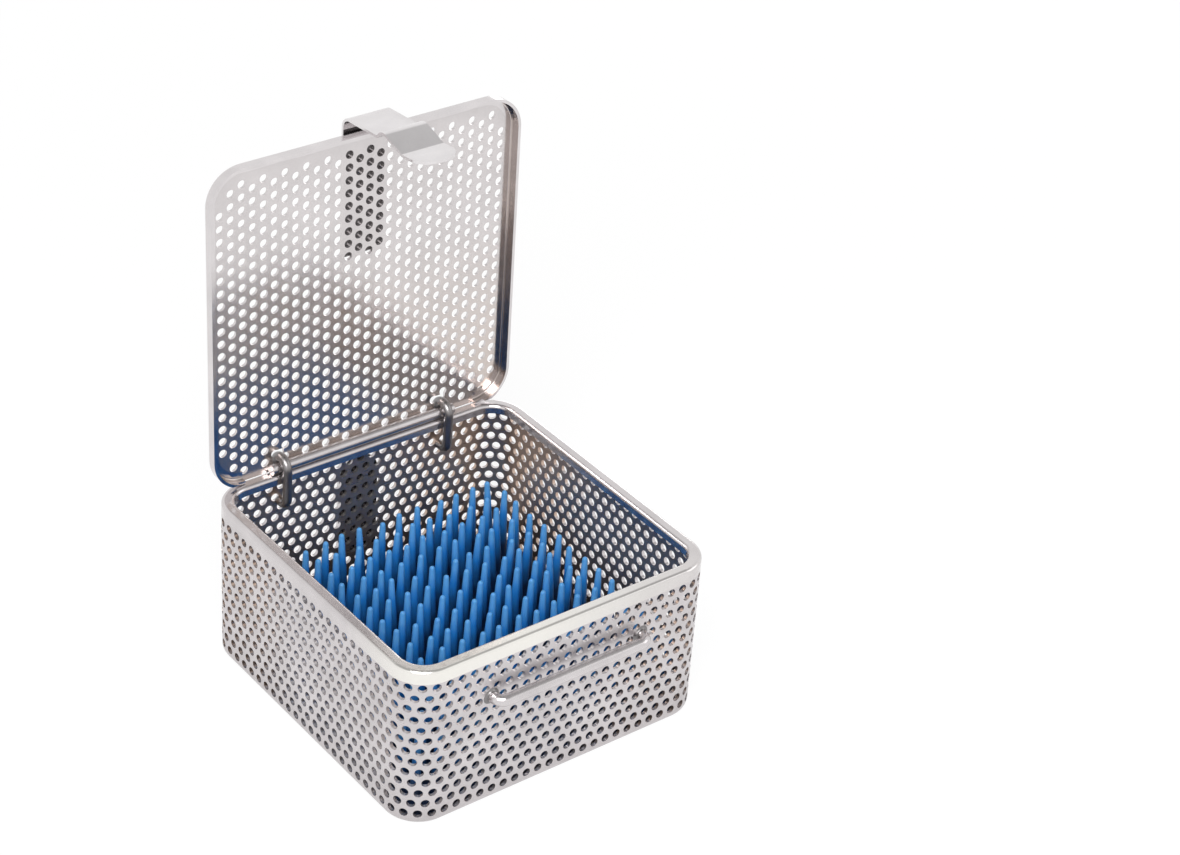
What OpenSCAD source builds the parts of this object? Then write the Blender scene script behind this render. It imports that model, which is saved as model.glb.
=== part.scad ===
// Small perforated steel sterilising basket with a hinged lid, a spring latch and
// a silicone finger mat. Millimetres. Origin at the centre of the base's underside,
// +X to the right along the front wall, +Y towards the hinge, +Z up.

/* [Basket] */
// Outside length of each side
side = 80; // [60:1:140]
// Height of the body, up to the top of its rim
body_h = 40.6; // [30:0.1:70]
// Radius of the upright corners
corner_r = 8.5; // [6:0.5:14]
// Thickness of the body's sheet
sheet_t = 0.8; // [0.6:0.1:1.2]
// Radius of the bend between floor and walls
base_bend_r = 2; // [1.2:0.1:4]

/* [Perforation] */
// Diameter of the round holes
hole_d = 1.95; // [1:0.05:3]
// Distance between neighbouring holes, in staggered rows
hole_pitch = 3.08; // [2:0.02:5]
// Least metal beside the outer columns of holes and over the walls' top row
side_land = 0.1; // [0.05:0.05:1]
// Least metal past the end rows of holes and round the corners
end_land = 0.25; // [0.05:0.05:1]

/* [Rim and base edges] */
// Height of the plain band under the rim
rim_band_h = 3.2; // [2:0.1:6]
// Width of the folded rim, measured inwards
rim_w = 3.1; // [2.4:0.1:5]
// Depth of the rim's inner lip
rim_lip_h = 2.2; // [1.5:0.1:3]
// Radius of the rim's two top bends
rim_bend_r = 0.9; // [0.4:0.1:1.2]

/* [Lid] */
// Angle of the lid from closed
lid_angle = 90.5; // [0:0.5:90.5]
// Thickness of the lid's sheet
lid_t = 0.7; // [0.5:0.1:1]
// How far the lid's sides sit inside the body's
lid_side_inset = 0.4; // [0:0.1:1]
// How far the lid's front edge sits inside the body's
lid_front_inset = 0.8; // [0.4:0.1:1.5]
// How far the lid's back edge sits inside the body's
lid_back_inset = 0.5; // [0.3:0.1:1.5]
// Gap between the closed lid's flange and the rim
lid_gap = 0.3; // [0.2:0.05:1]
// Radius of the bend round the lid's edge
lid_bend_r = 1.2; // [0.8:0.1:2]
// Width of the plain border round the perforated panel
lid_border = 2.4; // [2:0.1:5]

/* [Hinge] */
// Diameter of the hinge rod
rod_d = 2.6; // [2:0.1:3.2]
// How far the rod's ends stand out past the eyes
rod_over = 1.6; // [0.5:0.1:5]
// Running clearance between the rod and an eye, all round
rod_play = 0.05; // [0.02:0.01:0.1]
// Gap between the rod and the rim below it
rod_lift = 0.1; // [0.05:0.05:0.5]
// Diameter of the wire of the hinge eyes
eye_wire_d = 2.2; // [1.6:0.1:2.4]
// Distance between the two eyes, centre to centre
eye_span = 43.6; // [36:0.2:60]
// Length of an eye's leg below the rim's lip, inside the back wall
eye_drop = 3.5; // [1:0.1:12]

/* [Catch bar and latch] */
// Diameter of the catch bar's wire
bar_d = 2.6; // [2:0.1:4]
// Length of the catch bar over its bends
bar_len = 42; // [30:1:60]
// Distance from the top of the rim down to the catch bar's centre
bar_drop = 12; // [9:0.1:16]
// Distance from the front wall to the catch bar's centre
bar_standoff = 2.9; // [2:0.1:6]
// Width of the latch strip
latch_w = 10.5; // [8:0.5:16]
// Thickness of the latch strip
latch_t = 0.6; // [0.4:0.05:1]
// Length of the strip welded to the lid
latch_root = 30.9; // [20:0.1:40]
// Clearance between the catch bar and the latch's bulge
latch_play = 0.6; // [0.2:0.1:1.5]
// How far the latch closes in behind the catch bar's outer side
latch_hook = 1.15; // [0.6:0.05:1.15]
// Length of the tongue below the bulge
tongue_len = 7.3; // [5:0.1:10]
// Radius of the tongue's corners
tongue_r = 4.6; // [2:0.1:5.2]

/* [Back tab] */
// Width of the round-topped tab on the outside of the back wall
tab_w = 10.5; // [8:0.5:14]
// Height of the tab's lower edge
tab_z0 = 10; // [4:0.5:20]
// Distance from the top of the rim down to the tab's round top
tab_drop = 4; // [3:0.1:12]
// Thickness of the tab
tab_t = 0.8; // [0.5:0.1:1.5]

/* [Finger mat] */
// Gap between the mat and the bend round the floor
mat_gap = 0.7; // [0.2:0.1:5]
// Thickness of the mat's base
mat_t = 2.6; // [1.5:0.1:5]
// Distance between neighbouring fingers
finger_pitch = 5.2; // [4:0.1:8]
// Least distance from the mat's edge to the foot of a finger
finger_margin = 1.8; // [0.5:0.1:5]
// Height of a finger above the mat's base
finger_h = 17.4; // [8:0.1:30]
// Diameter of a finger at its foot
finger_d0 = 2.5; // [1.5:0.1:4]
// Diameter of a finger at its round tip
finger_d1 = 1.4; // [0.8:0.1:3]

/* [Hidden] */
$fn = 48;
eps = 1;                        // how far cutters run past a face
half = side / 2;
corner_c = half - corner_r;     // centre of an upright corner

// Perforation of the walls: an odd number of holes to each quarter of the
// perimeter, so that the pattern is the same on every side and meets round
// the corners.
quarter = 2 * corner_c + PI / 2 * corner_r;
quarter_n = 2 * floor(quarter / hole_pitch / 2) + 1;
wall_pitch = quarter / quarter_n;
seam_i = floor(corner_c / wall_pitch - 0.5) + 0.5;
seam = seam_i * wall_pitch;     // where a flat wall meets its corner piece
row_pitch = hole_pitch * sqrt(3) / 2;
wall_z0 = base_bend_r;
wall_z1 = body_h - rim_band_h;
low_row_z = wall_z0 + hole_d / 2 + end_land;
top_row_z = wall_z1 - hole_d / 2 - side_land;
wall_rows = 2 * round((top_row_z - low_row_z) / row_pitch / 2) + 1;
wall_row_pitch = (top_row_z - low_row_z) / (wall_rows - 1);

// Lid outline, closed
lid_x = half - lid_side_inset;
lid_y0 = -half + lid_front_inset;
lid_y1 = half - lid_back_inset;
lid_cx = lid_x - corner_r;      // centres of the lid's corners
lid_cy0 = lid_y0 + corner_r;
lid_cy1 = lid_y1 - corner_r;
lid_z0 = body_h + lid_gap;      // lower edge of the lid's flange

// Hinge axis: the eyes' legs stand against the rim's inner lip, and the rod runs
// under the lid's panel.
hinge_y = half - rim_w + rod_d / 2 + rod_play;
hinge_z = body_h + rod_lift + rod_d / 2;
lid_top = hinge_z + rod_d / 2 + lid_t;
rod_len = eye_span + eye_wire_d + 2 * rod_over;
eye_r = rod_d / 2 + rod_play + eye_wire_d / 2;  // radius of an eye's centre line
eye_x = eye_span / 2;
eye_foot = 1.1;                 // straight end of an eye's foot, square to the wall
notch_gap = 0.35;               // between an eye and the sides of the lid's notch
lid_relief = 0.3;               // other gaps that let the lid swing

bar_z = body_h - bar_drop;
bar_end = 0.6;                  // straight ends of the catch bar, square to the wall
tab_z1 = body_h - tab_drop;

// Latch strip: it leaves the lid's top, bends down in front of the wall, steps out
// over the catch bar in a bulge, closes in below the bar and ends in a tongue. Each
// stretch of its sprung part is a length, then a bend of an angle and a radius.
// The bulge sets where the strip comes down, and so where the sprung part begins.
bulge_out = 0.17;               // its bend's centre past the catch bar's, outwards
bulge_up = 0.41;                // and upwards
bulge = [-half - bar_standoff - bulge_out, bar_z + bulge_up];
bulge_r = bar_d / 2 + latch_play + latch_t / 2;
top_bend_r = 2.6;
crease_r = 0.9;
start_len = 0.5;
step_len = 0.6;
drop_dir = 180 + 86;            // headings along the strip, in degrees
step_dir = drop_dir - 46;
close_dir = step_dir + 66.5;
tongue_dir = close_dir - 22.5;
drop_end = bulge - bulge_r * left_of(step_dir) - step_len * heading(step_dir)
    + crease_r * (left_of(drop_dir) - left_of(step_dir));
drop_top = lid_top + latch_t / 2 - top_bend_r * (1 + left_of(drop_dir)[1]);
drop_len = (drop_end[1] - drop_top) / heading(drop_dir)[1];
hook_y = -half - bar_standoff - bar_d / 2 + latch_hook - latch_t / 2;
close_y = bulge[0] - bulge_r * left_of(close_dir)[0];
close_len = (hook_y - crease_r * (1 - left_of(close_dir)[0]) - close_y)
    / heading(close_dir)[0];
latch_y1 = drop_end[0] - drop_len * heading(drop_dir)[0]
    + top_bend_r * left_of(drop_dir)[0] + start_len;
latch_y0 = latch_y1 + latch_root;               // back end of the strip
latch_bends = [
    [start_len, drop_dir - 180, top_bend_r],
    [drop_len, step_dir - drop_dir, crease_r],
    [step_len, close_dir - step_dir, bulge_r],
    [close_len, tongue_dir - close_dir, crease_r],
    [tongue_len, 0, crease_r]];
bend_lap = 0.5;                 // how far a bend's section runs on, in degrees
tongue_z = strip_end([latch_y1, lid_top + latch_t / 2, 180])[1];    // tip of the tongue
tongue_tip = 0.05;              // least half-width of the tongue's end between corners

function heading(a) = [cos(a), sin(a)];
function left_of(a) = [-sin(a), cos(a)];

// Finger mat, inside the bend round the floor
mat_half = half - base_bend_r - mat_gap;
mat_r = corner_r - base_bend_r - mat_gap;
finger_edge = finger_margin + finger_d0 / 2;
fingers = floor(2 * (mat_half - finger_edge) / finger_pitch) + 1;

// Outlines and sweeps

// Rectangle from a to b with rounded corners.
module rounded(a, b, r) {
    translate([a[0] + r, a[1]]) square([b[0] - a[0] - 2 * r, b[1] - a[1]]);
    translate([a[0], a[1] + r]) square([b[0] - a[0], b[1] - a[1] - 2 * r]);
    for (x = [a[0] + r, b[0] - r], y = [a[1] + r, b[1] - r])
        translate([x, y]) circle(r);
}

// A profile run round a quarter turn. Its x is 0 at the outer face and negative
// inwards; cx and cy are the corner's centre.
module corner_sweep(cx, cy, from)
    translate([cx, cy, 0]) rotate(from)
        rotate_extrude(angle = 90) translate([corner_r, 0]) children();

// The same profile run straight for len, centred, with its outer face at dist
// from the middle, on the side that faces +X turned by a.
module side_sweep(dist, len, a)
    rotate(a) translate([dist, len / 2, 0]) rotate([90, 0, 0])
        linear_extrude(len) children();

// Staggered holes on a floor or lid, inside an outline from a to b.
module hole_field(a, b, r) {
    cols = 2 * floor((b[0] - hole_d / 2 - side_land) / row_pitch + 0.5);
    rows = floor((b[1] - a[1] - hole_d - 2 * end_land) / hole_pitch) + 1;
    y0 = (a[1] + b[1] - (rows - 1) * hole_pitch) / 2;
    for (i = [0 : cols - 1], j = [0 : rows - 1 - i % 2]) {
        x = (i - (cols - 1) / 2) * row_pitch;
        y = y0 + (j + (i % 2) / 2) * hole_pitch;
        if (off_corner(x, y, a, b, r, hole_d / 2 + end_land))
            translate([x, y]) circle(d = hole_d, $fn = 24);
    }
}

// Whether the point x, y lies at least gap inside the outline's rounded corners.
function off_corner(x, y, a, b, r, gap) =
    let (dx = max(a[0] + r - x, x - b[0] + r),
         dy = max(a[1] + r - y, y - b[1] + r))
    dx <= 0 || dy <= 0 || norm([dx, dy]) <= r - gap;

// Basket body

module floor_panel() color("silver") {
    f = half - base_bend_r;
    linear_extrude(sheet_t) difference() {
        rounded([-f, -f], [f, f], corner_r - base_bend_r);
        hole_field([-f, -f], [f, f], corner_r - base_bend_r);
    }
}

// The bend from the floor to the walls: a quarter ring in section.
module base_bend()
    translate([-base_bend_r, base_bend_r]) intersection() {
        difference() {
            circle(base_bend_r);
            circle(base_bend_r - sheet_t);
        }
        translate([0, -base_bend_r]) square(base_bend_r);
    }

module base_edge() color("silver") {
    for (a = [0 : 90 : 270]) side_sweep(half, 2 * corner_c, a) base_bend();
    for (a = [0 : 90 : 270]) rotate(a) corner_sweep(corner_c, corner_c, 0) base_bend();
}

// One flat wall, on the front. Rows with a hole in the middle alternate with rows
// whose end holes are shared with the corner pieces.
module flat_wall() color("silver")
    translate([0, -half + sheet_t, 0]) rotate([90, 0, 0]) linear_extrude(sheet_t)
        difference() {
            translate([-seam, wall_z0]) square([2 * seam, wall_z1 - wall_z0]);
            for (row = [0 : wall_rows - 1]) {
                last = seam_i - 0.5 + (row % 2) / 2;
                for (i = [-last : last])
                    translate([i * wall_pitch, low_row_z + row * wall_row_pitch])
                        circle(d = hole_d, $fn = 24);
            }
        }

// One corner piece, at the back right: a short flat, a quarter turn and a short
// flat, with the rows of holes carried on along its outer face.
module wall_corner() color("silver") {
    flat = corner_c - seam;
    turn = PI / 2 * corner_r;
    count = round((2 * flat + turn) / wall_pitch);
    difference() {
        union() {
            translate([half - sheet_t, seam, wall_z0])
                cube([sheet_t, flat, wall_z1 - wall_z0]);
            corner_sweep(corner_c, corner_c, 0) translate([-sheet_t, wall_z0])
                square([sheet_t, wall_z1 - wall_z0]);
            translate([seam, half - sheet_t, wall_z0])
                cube([flat, sheet_t, wall_z1 - wall_z0]);
        }
        for (row = [0 : wall_rows - 1], j = [0 : count - 1 + row % 2]) {
            s = (j + (1 - row % 2) / 2) * wall_pitch - flat;
            z = low_row_z + row * wall_row_pitch;
            along = s < 0 ? s : s > turn ? s - turn : 0;
            at = s < 0 ? 0 : s > turn ? 90 : s / corner_r * 180 / PI;
            translate([corner_c, corner_c, z]) rotate(at)
                translate([corner_r - sheet_t - eps, along, 0]) rotate([0, 90, 0])
                    cylinder(d = hole_d, h = sheet_t + 2 * eps, $fn = 24);
        }
    }
}

module wall_front() flat_wall();
module wall_right() rotate(90) flat_wall();
module wall_back() rotate(180) flat_wall();
module wall_left() rotate(270) flat_wall();
module corner_front_right() rotate(-90) wall_corner();
module corner_back_right() wall_corner();
module corner_back_left() rotate(90) wall_corner();
module corner_front_left() rotate(180) wall_corner();

// Section of the rim: the wall's plain margin folded inwards and down again.
module rim_section()
    difference() {
        union() {
            translate([-rim_w, body_h - rim_lip_h])
                square([rim_w, rim_lip_h - rim_bend_r]);
            translate([-sheet_t, wall_z1]) square([sheet_t, rim_band_h - rim_bend_r]);
            translate([-rim_w + rim_bend_r, body_h - rim_bend_r])
                square([rim_w - 2 * rim_bend_r, rim_bend_r]);
            for (x = [-rim_w + rim_bend_r, -rim_bend_r])
                translate([x, body_h - rim_bend_r]) circle(rim_bend_r);
        }
        translate([-rim_w + sheet_t, wall_z1 - eps])
            square([rim_w - 2 * sheet_t, rim_band_h - sheet_t + eps]);
    }

module rim_frame() color("gainsboro") {
    for (a = [0 : 90 : 270]) side_sweep(half, 2 * corner_c, a) rim_section();
    for (a = [0 : 90 : 270]) rotate(a) corner_sweep(corner_c, corner_c, 0) rim_section();
}

// Round wire with both ends bent back to the front wall.
module catch_bar() color("silver") {
    bend = bar_standoff - bar_end;
    leg_x = (bar_len - bar_d) / 2;
    translate([0, -half - bar_standoff, bar_z]) {
        translate([-leg_x + bend, 0, 0]) rotate([0, 90, 0])
            cylinder(d = bar_d, h = 2 * (leg_x - bend));
        for (s = [-1, 1]) {
            translate([s * (leg_x - bend), bend, 0]) rotate(s > 0 ? -90 : 180)
                rotate_extrude(angle = 90) translate([bend, 0]) circle(d = bar_d);
            translate([s * leg_x, bend, 0]) rotate([-90, 0, 0])
                cylinder(d = bar_d, h = bar_end);
        }
    }
}

// A wire eye: a leg up the inside of the back wall, over the rod and down on to
// the rim. Its foot turns in to the wall.
module hinge_eye(x) color("silver") translate([x, hinge_y, 0]) {
    foot_r = half - sheet_t - hinge_y + eye_r - eye_foot;
    leg_z = body_h - rim_lip_h - eye_drop;
    translate([0, 0, hinge_z]) rotate([0, -90, 0]) rotate([0, 0, -90])
        rotate_extrude(angle = 180) translate([eye_r, 0]) circle(d = eye_wire_d);
    translate([0, eye_r, body_h]) cylinder(d = eye_wire_d, h = hinge_z - body_h);
    translate([0, -eye_r, leg_z]) cylinder(d = eye_wire_d, h = hinge_z - leg_z);
    translate([0, -eye_r + foot_r, leg_z]) rotate([0, 90, 0]) rotate(-90)
        rotate_extrude(angle = 90) translate([foot_r, 0]) circle(d = eye_wire_d);
    translate([0, -eye_r + foot_r, leg_z - foot_r]) rotate([-90, 0, 0])
        cylinder(d = eye_wire_d, h = eye_foot);
}

module eye_left() hinge_eye(-eye_x);
module eye_right() hinge_eye(eye_x);

// Plain tab with a round top, flat against the outside of the back wall.
module back_tab() color("silver")
    translate([0, half + tab_t, 0]) rotate([90, 0, 0]) linear_extrude(tab_t) {
        translate([-tab_w / 2, tab_z0]) square([tab_w, tab_z1 - tab_z0 - tab_w / 2]);
        translate([0, tab_z1 - tab_w / 2]) circle(d = tab_w);
    }

// Silicone mat: a flat base with rows of tapered, round-tipped fingers.
module finger_mat() color("royalblue") translate([0, 0, sheet_t]) {
    a = [-mat_half, -mat_half];
    linear_extrude(mat_t) rounded(a, -a, mat_r);
    for (i = [0 : fingers - 1], j = [0 : fingers - 1]) {
        x = (i - (fingers - 1) / 2) * finger_pitch;
        y = (j - (fingers - 1) / 2) * finger_pitch;
        if (off_corner(x, y, a, -a, mat_r, finger_d0))
            translate([x, y, mat_t]) rotate_extrude($fn = 24) finger_section();
    }
}

// Half section of a finger: a taper under a round tip.
module finger_section() {
    r1 = finger_d1 / 2;
    polygon([[0, 0], [finger_d0 / 2, 0], [r1, finger_h - r1], [0, finger_h - r1]]);
    translate([0, finger_h - r1]) intersection() {
        circle(r1);
        square(r1);
    }
}

// Lid, drawn closed and turned to its angle

module lid_pose()
    translate([0, hinge_y, hinge_z]) rotate([-lid_angle, 0, 0])
        translate([0, -hinge_y, -hinge_z]) children();

module lid_panel() color("silver") lid_pose()
    translate([0, 0, lid_top - lid_t]) linear_extrude(lid_t) difference() {
        b = lid_border;
        union() {
            rounded([-lid_x + b, lid_y0 + b], [lid_x - b, lid_y1 - b], corner_r - b);
            translate([-lid_cx, 0]) square([2 * lid_cx, lid_y1]);
        }
        hole_field([-lid_x + b, lid_y0 + b], [lid_x - b, lid_y1], corner_r - b);
        for (s = [-1, 1])
            translate([s * eye_x - eye_wire_d / 2 - notch_gap,
                hinge_y - eye_r - eye_wire_d / 2 - lid_relief])
                square([eye_wire_d + 2 * notch_gap, side]);
    }

// Section of the lid's edge: a plain border, a bend and a flange.
module lid_section() {
    flat_w = lid_border - lid_bend_r;
    translate([-lid_border, lid_top - lid_t]) square([flat_w, lid_t]);
    translate([-lid_t, lid_z0]) square([lid_t, lid_top - lid_bend_r - lid_z0]);
    translate([-lid_bend_r, lid_top - lid_bend_r]) intersection() {
        difference() {
            circle(lid_bend_r);
            circle(lid_bend_r - lid_t);
        }
        square(lid_bend_r);
    }
}

// Three straight edges and four corners. The two back corners lose the lower half
// of their flange, which would strike the rim as the lid swings up.
module lid_frame() color("gainsboro") lid_pose() difference() {
    union() {
        side_sweep(-lid_y0, 2 * lid_cx, -90) lid_section();
        for (s = [0, 180]) translate([0, (lid_cy0 + lid_cy1) / 2, 0])
            side_sweep(lid_x, lid_cy1 - lid_cy0, s) lid_section();
        corner_sweep(lid_cx, lid_cy1, 0) lid_section();
        corner_sweep(-lid_cx, lid_cy1, 90) lid_section();
        corner_sweep(-lid_cx, lid_cy0, 180) lid_section();
        corner_sweep(lid_cx, lid_cy0, 270) lid_section();
    }
    translate([-side, hinge_y + lid_relief, lid_z0 - eps])
        cube([2 * side, side, hinge_z - lid_z0 + eps]);
}

module hinge_rod() color("silver") lid_pose()
    translate([-rod_len / 2, hinge_y, hinge_z]) rotate([0, 90, 0])
        cylinder(d = rod_d, h = rod_len);

// Latch

// Where a stretch and the bend after it end, as [y, z, heading].
function bend_end(from, bend) =
    let (a = from[2] + bend[1], side_r = sign(bend[1]) * bend[2])
    concat([from[0], from[1]] + bend[0] * heading(from[2])
        + side_r * (left_of(from[2]) - left_of(a)), a);

// Where the whole strip ends.
function strip_end(from, k = 0) = k == len(latch_bends) ? from :
    strip_end(bend_end(from, latch_bends[k]), k + 1);

// The strip in section: a stretch along +X from the origin, its bend, and what follows.
module latch_section(k = 0)
    if (k < len(latch_bends)) {
        length = latch_bends[k][0];
        turn = latch_bends[k][1];
        side_r = sign(turn) * latch_bends[k][2];
        translate([0, -latch_t / 2]) square([length, latch_t]);
        translate([length, side_r]) {
            if (turn != 0) bend_section(abs(side_r), turn);
            rotate(turn) translate([0, -side_r]) latch_section(k + 1);
        }
    }

// A bend that starts along +X and turns to the left, or to the right if negative.
// It runs on into the stretches beside it by a hair, to be one solid with them.
module bend_section(r, turn) intersection() {
    first = -(90 + bend_lap) * sign(turn);
    last = first + turn + 2 * bend_lap * sign(turn);
    reach = 2 * (r + latch_t);
    difference() {
        circle(r + latch_t / 2);
        circle(r - latch_t / 2);
    }
    polygon([[0, 0], reach * heading(first), reach * heading(last)]);
}

// The strip's flat root, welded to the lid.
module latch_strip() color("whitesmoke") lid_pose()
    translate([-latch_w / 2, latch_y1, lid_top])
        cube([latch_w, latch_y0 - latch_y1, latch_t]);

// The sprung part, cut to a tongue with round corners.
module latch_spring() color("whitesmoke") lid_pose() intersection() {
    rotate([90, 0, 90]) linear_extrude(latch_w, center = true)
        translate([latch_y1, lid_top + latch_t / 2]) rotate(180) latch_section();
    rotate([90, 0, 0]) linear_extrude(side) latch_outline();
}

// The latch seen from the front.
module latch_outline() {
    w = latch_w / 2;
    rounded([-w, tongue_z], [w, lid_top + side], min(tongue_r, w - tongue_tip));
}

floor_panel();
base_edge();
wall_front();
wall_right();
wall_back();
wall_left();
corner_front_right();
corner_back_right();
corner_back_left();
corner_front_left();
rim_frame();
catch_bar();
eye_left();
eye_right();
back_tab();
finger_mat();
lid_panel();
lid_frame();
hinge_rod();
latch_strip();
latch_spring();
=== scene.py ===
"""Looks of a small perforated steel instrument cassette: lid open, silicone finger mat."""
import math
import random

import bmesh
import bpy
from mathutils import Matrix, Vector


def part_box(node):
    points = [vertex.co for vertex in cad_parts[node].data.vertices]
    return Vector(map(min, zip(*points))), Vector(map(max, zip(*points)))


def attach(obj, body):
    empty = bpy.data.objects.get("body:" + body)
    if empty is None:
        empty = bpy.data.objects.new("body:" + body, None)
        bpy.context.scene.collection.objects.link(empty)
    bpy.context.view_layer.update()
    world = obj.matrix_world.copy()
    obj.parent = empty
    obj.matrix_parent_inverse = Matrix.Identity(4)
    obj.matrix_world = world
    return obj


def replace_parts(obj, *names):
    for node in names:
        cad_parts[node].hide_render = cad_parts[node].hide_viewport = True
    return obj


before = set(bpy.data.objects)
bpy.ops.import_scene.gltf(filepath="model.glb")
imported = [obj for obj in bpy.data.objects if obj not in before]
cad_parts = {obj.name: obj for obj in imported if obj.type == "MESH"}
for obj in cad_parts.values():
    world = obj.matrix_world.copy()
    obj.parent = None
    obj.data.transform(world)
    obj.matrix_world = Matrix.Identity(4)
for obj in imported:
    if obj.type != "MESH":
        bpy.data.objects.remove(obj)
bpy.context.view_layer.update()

MM = 0.001

# Camera: its place, its heading from +Y towards +X, its dip below level and its roll
CAMERA_PLACE = Vector((-0.2990, -0.4003, 0.3888))
CAMERA_HEADING = math.radians(39.8)
CAMERA_DIP = math.radians(32.7)
CAMERA_ROLL = math.radians(4.40)
CAMERA_LENS = 85.06
SENSOR_WIDTH = 36

# Finger mat
MAT_THICKNESS = 2.6 * MM
MAT_CORNER_R = 5.8 * MM
MAT_EDGE_R = 0.6 * MM
FINGER_PITCH = 5.2 * MM
FINGER_EDGE = 3.05 * MM         # least distance of a finger's middle from the mat's sides
MAT_CORNER_GAP = 2.5 * MM       # and from its rounded corners
FINGER_FOOT_D = 2.5 * MM
FINGER_TIP_D = 1.3 * MM
FINGER_SINK = 0.3 * MM          # how deep a finger's foot runs into the mat
FINGER_FLARE = ((1.28, -FINGER_SINK), (1.16, 0.15 * MM), (1.0, 0.8 * MM))
FINGER_WAIST = 0.52             # radius at half height, as a share of foot and tip together
FINGER_ROUND = (0, 35, 65)      # degrees up the round tip
FINGER_SIDES = 10
FINGER_LEAN = math.radians(1.3)

# Silicone: its colour among the feet, at the fingers' sides and at their tips, with the share of
# the way up where each holds
# the dark feet are partly painted shade, the light tips partly a painted highlight
SILICONE_HUES_WITH_PAINTED_LIGHT = ((0.28, (0.006, 0.022, 0.07)), (0.76, (0.018, 0.215, 0.62)),
                 (1.0, (0.10, 0.35, 0.72)))
SILICONE_LOW = 3 * MM
SILICONE_HIGH = 21 * MM
SILICONE_MOTTLE = 0.25

# Welds where the bar's wire meets the sheet
WELD_WIDTH = 0.7 * MM
WELD_UNEVEN = 0.12 * MM
WELD_LOBES = 3
WELD_OVERLAP = 0.05 * MM        # how far the fillet runs into the wire and the sheet
WELD_ARC_STEPS = 6
WELD_STEPS = 24

# Steel tones, each from its darker to its lighter clouds
SHEET_TONES = (0.58, 0.551, 0.557), (0.66, 0.627, 0.634)
TAB_TONES = (0.60, 0.578, 0.582), (0.68, 0.655, 0.66)
LID_TONES = (0.62, 0.589, 0.590), (0.68, 0.646, 0.648)
RIM_TONES = (0.58, 0.551, 0.555), (0.66, 0.627, 0.632)
EDGE_TONES = (0.64, 0.611, 0.615), (0.72, 0.688, 0.692)
BAR_TONES = (0.58, 0.551, 0.555), (0.68, 0.646, 0.65)
WIRE_TONES = (0.20, 0.19, 0.191), (0.30, 0.285, 0.287)
LATCH_TONES = (0.70, 0.675, 0.68), (0.78, 0.753, 0.758)

# Roughness of the steel, from its brightest to its dullest lines
DRAWN = (0.26, 0.40)
SMOOTH = (0.14, 0.24)
POLISHED = (0.10, 0.20)
FOLDED = (0.12, 0.22)
PRESSED = (0.10, 0.18)
DULL = (0.24, 0.38)

# Grain of the steel: how closely its lines lie along each axis
SHEET_GRAIN = (300, 300, 2600)
LID_GRAIN = (300, 2600, 300)
EVEN_GRAIN = (500, 500, 500)
BAR_GRAIN = (60, 1500, 1500)
WIRE_GRAIN = (1500, 1500, 60)
LATCH_GRAIN = (1800, 60, 60)
CLOUDS = 140
DENTS = 90
DENT_DEPTH = 0.2 * MM
LINE_DEPTH = 0.02 * MM
LINE_STRENGTH = 0.12

# Tones laid over the steel: painted shade, a painted highlight and a darker foot
# painted shade, dimmer and warmer, on the basket's inside faces
INSIDE_PAINTED_SHADE = (0.84, 0.67, 0.54)
FOOT_TONE = (0.84, 0.83, 0.83)
FOOT_HEIGHT = 12 * MM
# painted warm shade on the lid's inside, growing from the first height to full at the second,
# towards the hinge
LID_PAINTED_SHADE = (0.96, 0.90, 0.84)
LID_PAINTED_SHADE_HEIGHTS = (90 * MM, 50 * MM)
# painted shade on the inside of the lid's border and flange
FLANGE_PAINTED_SHADE = (0.64, 0.58, 0.54)
# painted highlight along the rim's front
RIM_FRONT_PAINTED_HIGHLIGHT = (0.86, 0.84, 0.795)
RIM_FRONT_Y = (-15 * MM, -37 * MM)
RIM_FRONT_X = (45 * MM, -10 * MM)
# painted shade on the latch root's face against the lid
ROOT_SHADE = (0.09, 0.085, 0.086)
# painted shade on the tab's face against the wall
TAB_SHADE = (0.008, 0.007, 0.007)

# Studio floor: its half width, the share of its white that is its own near the object and far
# from it, and how strong that is
FLOOR_SIZE = 4
FLOOR_GLOW = (0.86, 1.0)
FLOOR_FADE = (0.2, 0.9)
FLOOR_STRENGTH = 1.04

# Sky: its light on matt surfaces, and in the steel its darker part overhead, by the sine of the
# height above level
SKY_LIGHT = 0.3
SKY_OVERHEAD = 0.4
OVERHEAD_RISE = (0.58, 0.90)

# Lamps: name, place, the point it looks at, side and power
LAMPS = (("key", (-0.45, -0.50, 0.75), (0, 0, 0.05), 0.6, 9.0),
         ("back", (0.62, 0.58, 0.20), (0, 0, 0.04), 0.25, 0.5),
         ("fill", (0.75, -0.45, 0.45), (0, 0, 0.05), 0.5, 0.6))


# Meshes

def new_piece(name, bm, body, finish):
    """A finished smooth piece from a bmesh, riding on a body."""
    bmesh.ops.remove_doubles(bm, verts=bm.verts, dist=1e-7)
    bmesh.ops.recalc_face_normals(bm, faces=bm.faces)
    mesh = bpy.data.meshes.new(name)
    bm.to_mesh(mesh)
    bm.free()
    mesh.polygons.foreach_set("use_smooth", [True] * len(mesh.polygons))
    piece = bpy.data.objects.new(name, mesh)
    bpy.context.scene.collection.objects.link(piece)
    mesh.materials.append(finish.material)
    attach(piece, body)
    return piece


def spun_profile(bm, points, centre, axis, along, steps):
    """Spins (radius, height) points round an axis; along is the radius's direction."""
    verts = [bm.verts.new(centre + along * r + axis * h) for r, h in points]
    edges = [bm.edges.new(pair) for pair in zip(verts, verts[1:])]
    bmesh.ops.spin(bm, geom=verts + edges, cent=centre, axis=axis,
                   angle=2 * math.pi, steps=steps, use_merge=True)


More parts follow.
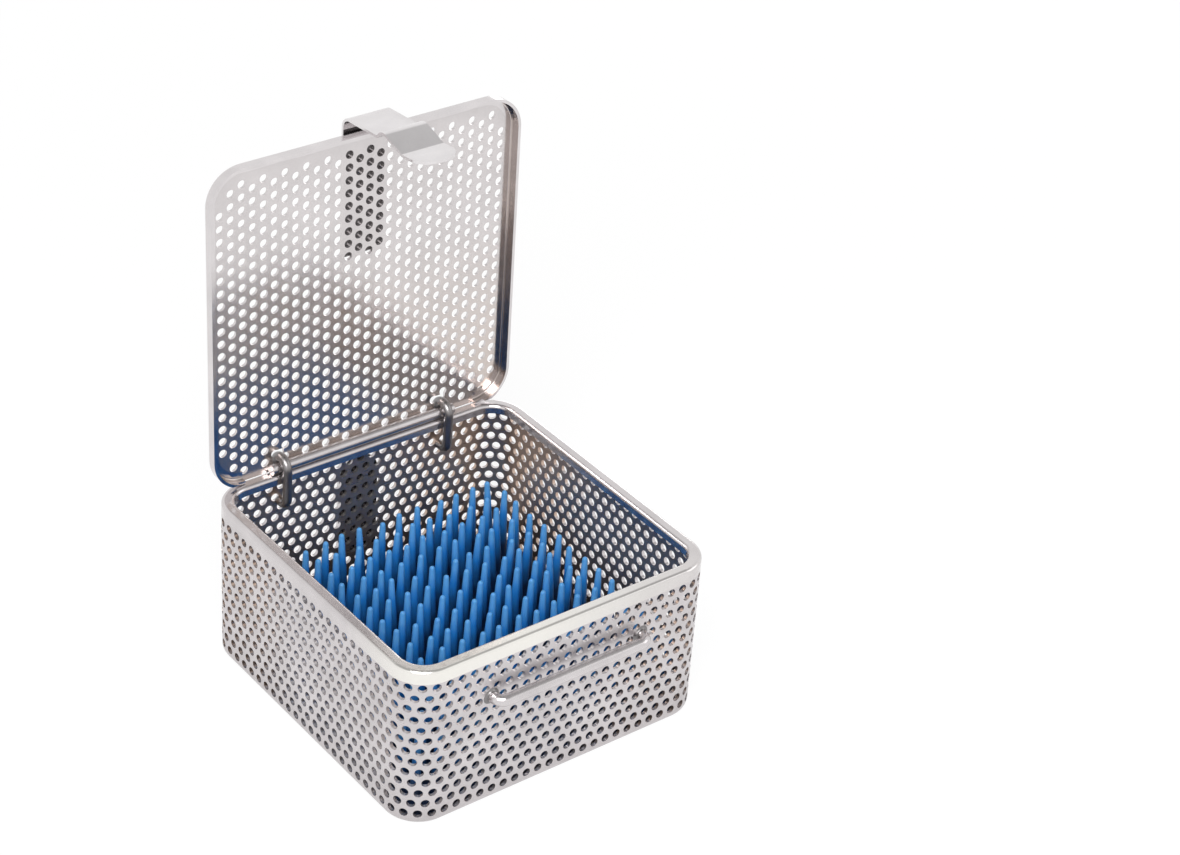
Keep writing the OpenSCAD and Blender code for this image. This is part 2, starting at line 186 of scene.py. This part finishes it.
def finger_profile(height):
    """Radius and height along a finger: a flared foot, a taper and a round tip."""
    foot, tip = FINGER_FOOT_D / 2, FINGER_TIP_D / 2
    points = [(foot * wider, up) for wider, up in FINGER_FLARE]
    points.append(((foot + tip) * FINGER_WAIST, height / 2))
    for turn in FINGER_ROUND:
        a = math.radians(turn)
        points.append((tip * math.cos(a), height - tip + tip * math.sin(a)))
    return points + [(0, height)]


def clear_of_corner(x, y, half):
    """Whether a finger's centre keeps inside the mat's rounded corners."""
    dx, dy = abs(x) - half + MAT_CORNER_R, abs(y) - half + MAT_CORNER_R
    return dx <= 0 or dy <= 0 or math.hypot(dx, dy) <= MAT_CORNER_R - MAT_CORNER_GAP


def finger_mat(finish):
    """The silicone mat: a soft-edged base and rows of fingers that lean a little."""
    low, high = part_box("finger_mat")
    half = (high.x - low.x) / 2
    top = low.z + MAT_THICKNESS
    bm = bmesh.new()
    bmesh.ops.create_cube(bm, size=1, matrix=Matrix.Translation((0, 0, (low.z + top) / 2))
                          @ Matrix.Diagonal((2 * half, 2 * half, MAT_THICKNESS, 1)))
    upright = [e for e in bm.edges if abs(e.verts[0].co.z - e.verts[1].co.z) > MM]
    bmesh.ops.bevel(bm, geom=upright, offset=MAT_CORNER_R, segments=8, profile=0.5,
                    affect="EDGES", material=-1)
    rim = [e for e in bm.edges if abs(e.verts[0].co.z - e.verts[1].co.z) < 1e-6
           and e.verts[0].co.z > low.z + MM]
    bmesh.ops.bevel(bm, geom=rim, offset=MAT_EDGE_R, segments=3, profile=0.5,
                    affect="EDGES", material=-1)
    count = 2 * int((half - FINGER_EDGE) / FINGER_PITCH + 0.5)
    profile = finger_profile(high.z - top)
    chance = random.Random(7)
    for i in range(count):
        for j in range(count):
            x = (i - (count - 1) / 2) * FINGER_PITCH
            y = (j - (count - 1) / 2) * FINGER_PITCH
            if not clear_of_corner(x, y, half):
                continue
            foot = Vector((x, y, top))
            lean = Matrix.Rotation(chance.gauss(0, FINGER_LEAN), 3, "X") \
                @ Matrix.Rotation(chance.gauss(0, FINGER_LEAN), 3, "Y")
            spun_profile(bm, profile, foot, lean @ Vector((0, 0, 1)),
                         lean @ Vector((1, 0, 0)), FINGER_SIDES)
    mat = new_piece("silicone_mat", bm, "basket", finish)
    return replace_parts(mat, "finger_mat")


def weld(name, centre, axis, wire_r, finish):
    """A small uneven fillet round a wire's end; axis points away from the sheet."""
    bm = bmesh.new()
    along = axis.orthogonal().normalized()
    points = [(wire_r - WELD_OVERLAP, WELD_WIDTH)]
    for k in range(WELD_ARC_STEPS + 1):
        a = math.pi / 2 * k / WELD_ARC_STEPS
        points.append((wire_r + WELD_WIDTH * (1 - math.cos(a)),
                       WELD_WIDTH * (1 - math.sin(a))))
    points.append((wire_r + WELD_WIDTH, -WELD_OVERLAP))
    spun_profile(bm, points, centre, axis, along, WELD_STEPS)
    chance = random.Random(len(name) + int(abs(centre.x) * 1e4))
    phase = chance.uniform(0, 2 * math.pi)
    for v in bm.verts:
        out = v.co - centre
        side = out - axis * out.dot(axis)
        turn = math.atan2(side.dot(axis.cross(along)), side.dot(along))
        if side.length > wire_r + 2 * WELD_OVERLAP:
            v.co += side.normalized() * WELD_UNEVEN * math.sin(WELD_LOBES * turn + phase)
    return new_piece(name, bm, "basket", finish)


def welds(finish):
    """Welds at the catch bar's two ends."""
    low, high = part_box("catch_bar")
    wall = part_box("wall_front")[0].y
    bar_r = (high.z - low.z) / 2
    for side, name in ((-1, "weld_bar_left"), (1, "weld_bar_right")):
        at = Vector((side * (high.x - bar_r), wall, (low.z + high.z) / 2))
        weld(name, at, Vector((0, -1, 0)), bar_r, finish)


# Materials

class Finish:
    """A material's node tree, with short calls for the nodes that finishes share."""

    def __init__(self, name):
        self.material = bpy.data.materials.new(name)
        self.material.use_nodes = True
        self.tree = self.material.node_tree
        self.shader = self.tree.nodes["Principled BSDF"]
        coordinates = self.node("ShaderNodeTexCoord")
        self.place = coordinates.outputs["Object"]
        self.normal = coordinates.outputs["Normal"]
        self.hue = None

    def node(self, kind, **values):
        made = self.tree.nodes.new(kind)
        for key, value in values.items():
            setattr(made, key, value)
        return made

    def link(self, output, target):
        self.tree.links.new(output, target)

    def set(self, **values):
        for key, value in values.items():
            self.shader.inputs[key.replace("_", " ")].default_value = value

    def stretched(self, scale):
        mapping = self.node("ShaderNodeMapping")
        mapping.inputs["Scale"].default_value = scale
        self.link(self.place, mapping.inputs["Vector"])
        return mapping.outputs["Vector"]

    def noise(self, scale, detail=3.0, where=None):
        made = self.node("ShaderNodeTexNoise")
        made.inputs["Scale"].default_value = scale
        made.inputs["Detail"].default_value = detail
        self.link(where or self.place, made.inputs["Vector"])
        return made.outputs["Fac"]

    def ranged(self, value, start, end, low=0, high=1):
        made = self.node("ShaderNodeMapRange")
        made.inputs["From Min"].default_value = start
        made.inputs["From Max"].default_value = end
        made.inputs["To Min"].default_value = low
        made.inputs["To Max"].default_value = high
        self.link(value, made.inputs["Value"])
        return made.outputs["Result"]

    def vector(self, operation, first, second=None):
        """A vector sum of an output with another output or a constant."""
        made = self.node("ShaderNodeVectorMath", operation=operation)
        self.link(first, made.inputs[0])
        if isinstance(second, bpy.types.NodeSocket):
            self.link(second, made.inputs[1])
        elif second is not None:
            made.inputs[1].default_value = second
        return made.outputs["Value" if operation == "DOT_PRODUCT" else "Vector"]

    def facing(self, direction):
        """1 on faces that look along a direction, 0 on the others."""
        return self.ranged(self.vector("DOT_PRODUCT", self.normal, direction), 0.3, 0.7)

    def inward(self, middle, plane):
        """1 on faces that look towards the middle of a plane, 0 on the others."""
        out = self.vector("MULTIPLY", self.vector("SUBTRACT", self.place, middle), plane)
        out = self.vector("NORMALIZE", out)
        return self.ranged(self.vector("DOT_PRODUCT", out, self.normal), -0.1, -0.35)

    def along(self, axis, start, end):
        """From 0 at start to 1 at end along an axis."""
        apart = self.node("ShaderNodeSeparateXYZ")
        self.link(self.place, apart.inputs["Vector"])
        return self.ranged(apart.outputs[axis], start, end)

    def both(self, first, second):
        made = self.node("ShaderNodeMath", operation="MULTIPLY")
        self.link(first, made.inputs[0])
        self.link(second, made.inputs[1])
        return made.outputs["Value"]

    def colour(self, output):
        """Gives the shader its base colour, and keeps it for a later layer."""
        self.hue = output
        self.link(output, self.shader.inputs["Base Color"])

    def ramp(self, value, *stops):
        """Base colour from a value, through stops of a position and a colour."""
        made = self.node("ShaderNodeValToRGB")
        elements = made.color_ramp.elements
        while len(elements) < len(stops):
            elements.new(0.5)
        for element, (position, colour) in zip(elements, stops):
            element.position = position
            element.color = (*colour, 1)
        self.link(value, made.inputs["Fac"])
        self.colour(made.outputs["Color"])

    def tone(self, mask, shade, blend="MULTIPLY"):
        """Lays a tone over the base colour where the mask is 1."""
        mix = self.node("ShaderNodeMix", data_type="RGBA", blend_type=blend)
        self.link(mask, mix.inputs["Factor"])
        self.link(self.hue, mix.inputs[6])
        mix.inputs[7].default_value = (*shade, 1)
        self.colour(mix.outputs[2])

    def bump(self, height, strength, distance, under=None):
        made = self.node("ShaderNodeBump")
        made.inputs["Strength"].default_value = strength
        made.inputs["Distance"].default_value = distance
        self.link(height, made.inputs["Height"])
        if under:
            self.link(under, made.inputs["Normal"])
        return made.outputs["Normal"]


def steel(name, tones, polish, grain, wave, metal=0.95):
    """Stainless steel: clouded colour and polish, drawn grain and a slight waviness."""
    f = Finish(name)
    f.set(Metallic=metal)
    f.ramp(f.noise(CLOUDS, 4), (0.3, tones[0]), (0.7, tones[1]))
    lines = f.noise(1.0, 2, f.stretched(grain))
    f.link(f.ranged(lines, 0.3, 0.7, *polish), f.shader.inputs["Roughness"])
    dents = f.bump(f.noise(DENTS, 1), wave, DENT_DEPTH)
    f.link(f.bump(lines, LINE_STRENGTH, LINE_DEPTH, dents), f.shader.inputs["Normal"])
    return f


def sheet_steel():
    """Perforated sheet of the basket: painted shade makes it dimmer and warmer inside, and it is
    dimmer at its foot.
    """
    f = steel("perforated_sheet", SHEET_TONES, DRAWN, SHEET_GRAIN, 0.10, 0.9)
    f.tone(f.inward((0, 0, 0), (1, 1, 0)), INSIDE_PAINTED_SHADE)
    f.tone(f.along("Z", FOOT_HEIGHT, 0), FOOT_TONE)
    return f


def lid_steel():
    """Perforated sheet of the lid, with painted warm shade on its inside towards the hinge."""
    f = steel("perforated_lid", LID_TONES, SMOOTH, LID_GRAIN, 0.06, 0.9)
    f.tone(f.both(f.facing((0, -1, 0)), f.along("Z", *LID_PAINTED_SHADE_HEIGHTS)), LID_PAINTED_SHADE)
    return f


def rim_steel():
    """Folded rim, with a painted highlight that makes it brightest along its front."""
    f = steel("folded_rim", RIM_TONES, FOLDED, EVEN_GRAIN, 0.08)
    front = f.both(f.along("Y", *RIM_FRONT_Y), f.along("X", *RIM_FRONT_X))
    f.tone(front, RIM_FRONT_PAINTED_HIGHLIGHT, "MIX")
    return f


def edge_steel():
    """Plain border and flange of the lid, with painted shade that makes it dimmer on the inside.
    """
    f = steel("lid_edge", EDGE_TONES, PRESSED, EVEN_GRAIN, 0.04, 0.98)
    low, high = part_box("lid_panel")
    f.tone(f.inward((low + high) / 2, (1, 0, 1)), FLANGE_PAINTED_SHADE)
    return f


def root_steel():
    """The latch strip's root, with painted shade that makes it dark on the face that lies
    against the lid.
    """
    f = steel("strip_root", LATCH_TONES, SMOOTH, LATCH_GRAIN, 0.08)
    f.tone(f.facing((0, -1, 0)), ROOT_SHADE, "MIX")
    return f


def tab_steel():
    """The back tab, with painted shade that makes it dark on the face that lies against the
    wall.
    """
    f = steel("back_tab", TAB_TONES, DRAWN, SHEET_GRAIN, 0.10, 0.9)
    f.tone(f.facing((0, -1, 0)), TAB_SHADE, "MIX")
    return f


def silicone():
    """Blue silicone, mottled: darker among the feet and lighter towards the tips, partly its own
    colour and partly painted shade low down and a painted highlight at the tips.
    """
    f = Finish("blue_silicone")
    f.set(Subsurface_Weight=0.2, Subsurface_Radius=(0.2, 0.5, 1.0),
          Subsurface_Scale=1.0 * MM, Specular_IOR_Level=0.35)
    mottle = f.node("ShaderNodeMath", operation="MULTIPLY_ADD")
    f.link(f.noise(260, 3), mottle.inputs[0])
    mottle.inputs[1].default_value = SILICONE_MOTTLE
    f.link(f.along("Z", SILICONE_LOW, SILICONE_HIGH), mottle.inputs[2])
    f.ramp(mottle.outputs["Value"], *SILICONE_HUES_WITH_PAINTED_LIGHT)
    f.link(f.ranged(f.noise(500, 2), 0.3, 0.7, 0.36, 0.54), f.shader.inputs["Roughness"])
    f.link(f.bump(f.noise(1800, 2), 0.25, 0.05 * MM), f.shader.inputs["Normal"])
    return f


def dress(nodes, finish):
    """Gives CAD nodes their finish."""
    for node in nodes:
        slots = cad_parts[node].data.materials
        slots.clear()
        slots.append(finish.material)


# Studio

def seen_directly(tree):
    """1 for rays from the camera, a mirror or through glass, else 0."""
    path = tree.nodes.new("ShaderNodeLightPath")
    value = path.outputs["Is Camera Ray"]
    for other in ("Is Glossy Ray", "Is Transmission Ray"):
        either = tree.nodes.new("ShaderNodeMath")
        either.operation = "MAXIMUM"
        tree.links.new(value, either.inputs[0])
        tree.links.new(path.outputs[other], either.inputs[1])
        value = either.outputs[0]
    return value


def floor():
    """A wide pale floor that keeps the cassette's soft shadow and fades to white."""
    bm = bmesh.new()
    bmesh.ops.create_grid(bm, x_segments=1, y_segments=1, size=FLOOR_SIZE)
    mesh = bpy.data.meshes.new("studio_floor")
    bm.to_mesh(mesh)
    bm.free()
    plane = bpy.data.objects.new("studio_floor", mesh)
    bpy.context.scene.collection.objects.link(plane)
    material = bpy.data.materials.new("pale_floor")
    material.use_nodes = True
    tree = material.node_tree
    tree.nodes.clear()
    matt = tree.nodes.new("ShaderNodeBsdfDiffuse")
    matt.inputs["Color"].default_value = (1, 1, 1, 1)
    glow = tree.nodes.new("ShaderNodeEmission")
    glow.inputs["Strength"].default_value = FLOOR_STRENGTH
    coordinates = tree.nodes.new("ShaderNodeTexCoord")
    distance = tree.nodes.new("ShaderNodeVectorMath")
    distance.operation = "LENGTH"
    tree.links.new(coordinates.outputs["Object"], distance.inputs[0])
    fade = tree.nodes.new("ShaderNodeMapRange")
    fade.inputs["From Min"].default_value = FLOOR_FADE[0]
    fade.inputs["From Max"].default_value = FLOOR_FADE[1]
    fade.inputs["To Min"].default_value = FLOOR_GLOW[0]
    fade.inputs["To Max"].default_value = FLOOR_GLOW[1]
    tree.links.new(distance.outputs["Value"], fade.inputs["Value"])
    share = tree.nodes.new("ShaderNodeMath")
    share.operation = "MULTIPLY"
    tree.links.new(seen_directly(tree), share.inputs[0])
    tree.links.new(fade.outputs["Result"], share.inputs[1])
    mix = tree.nodes.new("ShaderNodeMixShader")
    tree.links.new(share.outputs[0], mix.inputs["Fac"])
    tree.links.new(matt.outputs[0], mix.inputs[1])
    tree.links.new(glow.outputs[0], mix.inputs[2])
    out = tree.nodes.new("ShaderNodeOutputMaterial")
    tree.links.new(mix.outputs[0], out.inputs["Surface"])
    mesh.materials.append(material)


def sky():
    """Soft light all round; where it is seen directly it is white, and darker overhead."""
    world = bpy.data.worlds.new("studio")
    bpy.context.scene.world = world
    world.use_nodes = True
    tree = world.node_tree
    ground = tree.nodes["Background"]
    heading = tree.nodes.new("ShaderNodeSeparateXYZ")
    coordinates = tree.nodes.new("ShaderNodeTexCoord")
    tree.links.new(coordinates.outputs["Generated"], heading.inputs["Vector"])
    overhead = tree.nodes.new("ShaderNodeMapRange")
    overhead.interpolation_type = "SMOOTHSTEP"
    overhead.inputs["From Min"].default_value = OVERHEAD_RISE[0]
    overhead.inputs["From Max"].default_value = OVERHEAD_RISE[1]
    overhead.inputs["To Min"].default_value = 1.0
    overhead.inputs["To Max"].default_value = SKY_OVERHEAD
    tree.links.new(heading.outputs["Z"], overhead.inputs["Value"])
    strength = tree.nodes.new("ShaderNodeMapRange")
    strength.inputs["To Min"].default_value = SKY_LIGHT
    tree.links.new(overhead.outputs["Result"], strength.inputs["To Max"])
    tree.links.new(seen_directly(tree), strength.inputs["Value"])
    tree.links.new(strength.outputs["Result"], ground.inputs["Strength"])
    ground.inputs["Color"].default_value = (1, 1, 1, 1)


def softbox(name, place, target, size, power):
    """A square area lamp that looks at a point."""
    light = bpy.data.lights.new(name, "AREA")
    light.shape, light.size, light.energy = "SQUARE", size, power
    lamp = bpy.data.objects.new(name, light)
    lamp.location = place
    lamp.rotation_mode = "QUATERNION"
    lamp.rotation_quaternion = (Vector(target) - Vector(place)).to_track_quat("-Z", "Y")
    bpy.context.scene.collection.objects.link(lamp)


def camera():
    """The photograph's own view."""
    level = Vector((math.sin(CAMERA_HEADING), math.cos(CAMERA_HEADING), 0))
    forward = level * math.cos(CAMERA_DIP) - Vector((0, 0, math.sin(CAMERA_DIP)))
    right = forward.cross(Vector((0, 0, 1))).normalized()
    up = right.cross(forward)
    x = right * math.cos(CAMERA_ROLL) + up * math.sin(CAMERA_ROLL)
    y = up * math.cos(CAMERA_ROLL) - right * math.sin(CAMERA_ROLL)
    data = bpy.data.cameras.new("camera")
    data.lens = CAMERA_LENS
    data.sensor_width = SENSOR_WIDTH
    data.sensor_fit = "HORIZONTAL"
    data.clip_start, data.clip_end = 0.01, 20
    eye = bpy.data.objects.new("camera", data)
    turn = Matrix((x, y, -forward)).transposed().to_4x4()
    eye.matrix_world = Matrix.Translation(CAMERA_PLACE) @ turn
    bpy.context.scene.collection.objects.link(eye)
    bpy.context.scene.camera = eye


# The cassette

dress(["floor_panel", "base_edge", "wall_front", "wall_right", "wall_back", "wall_left",
       "corner_front_right", "corner_back_right", "corner_back_left",
       "corner_front_left"], sheet_steel())
dress(["lid_panel"], lid_steel())
dress(["back_tab"], tab_steel())
dress(["rim_frame"], rim_steel())
dress(["lid_frame"], edge_steel())
dress(["catch_bar", "hinge_rod"], steel("drawn_bar", BAR_TONES, SMOOTH, BAR_GRAIN, 0.05))
wire = steel("drawn_wire", WIRE_TONES, DULL, WIRE_GRAIN, 0.05)
dress(["eye_left", "eye_right"], wire)
dress(["latch_spring"], steel("polished_strip", LATCH_TONES, POLISHED, LATCH_GRAIN, 0.08))
dress(["latch_strip"], root_steel())
finger_mat(silicone())
welds(wire)

floor()
sky()
for lamp in LAMPS:
    softbox(*lamp)
bpy.context.scene.view_settings.view_transform = "Standard"
camera()
